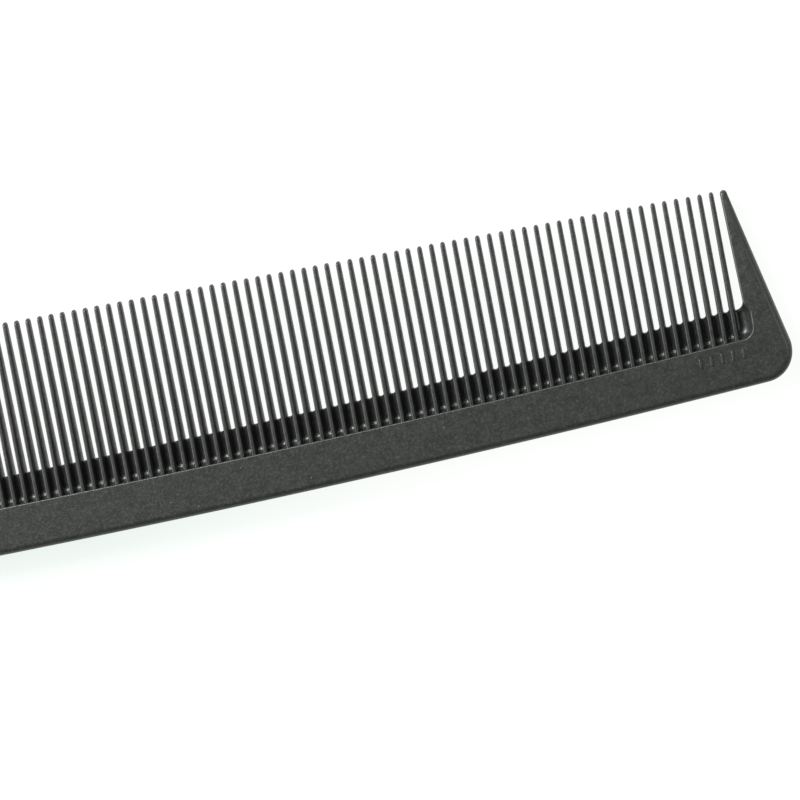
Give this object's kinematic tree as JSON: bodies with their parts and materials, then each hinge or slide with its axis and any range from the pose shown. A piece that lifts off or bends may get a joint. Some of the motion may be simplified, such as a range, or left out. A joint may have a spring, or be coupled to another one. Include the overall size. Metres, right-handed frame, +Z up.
{
  "type": "tail comb",
  "caption": "Fine-toothed salon comb with a tapered blade, rounded toe guard, curved heel and a long thin steel tail for parting and sectioning hair.",
  "frame": {"origin": "bottom centre of the whole comb lying flat: halfway from tail point to toe, halfway from the back edge to the tooth tips, on the lower face", "axes": "+X from the tail to the toe, +Y from the back edge to the tooth tips, +Z up out of the face that carries the raised bars"},
  "size_m": [0.2228, 0.0278, 0.0041],
  "materials": {
    "moulding": "fine spark-eroded satin, carbon-filled",
    "pin_steel": "drawn and polished along its length"
  },
  "bodies": {
    "root": {"spine": "moulding", "root_web": "moulding", "teeth": "moulding", "toe_guard": "moulding", "heel_guard": "moulding", "tail_neck": "moulding", "tail_pin": "pin_steel"}
  },
  "joints": []
}
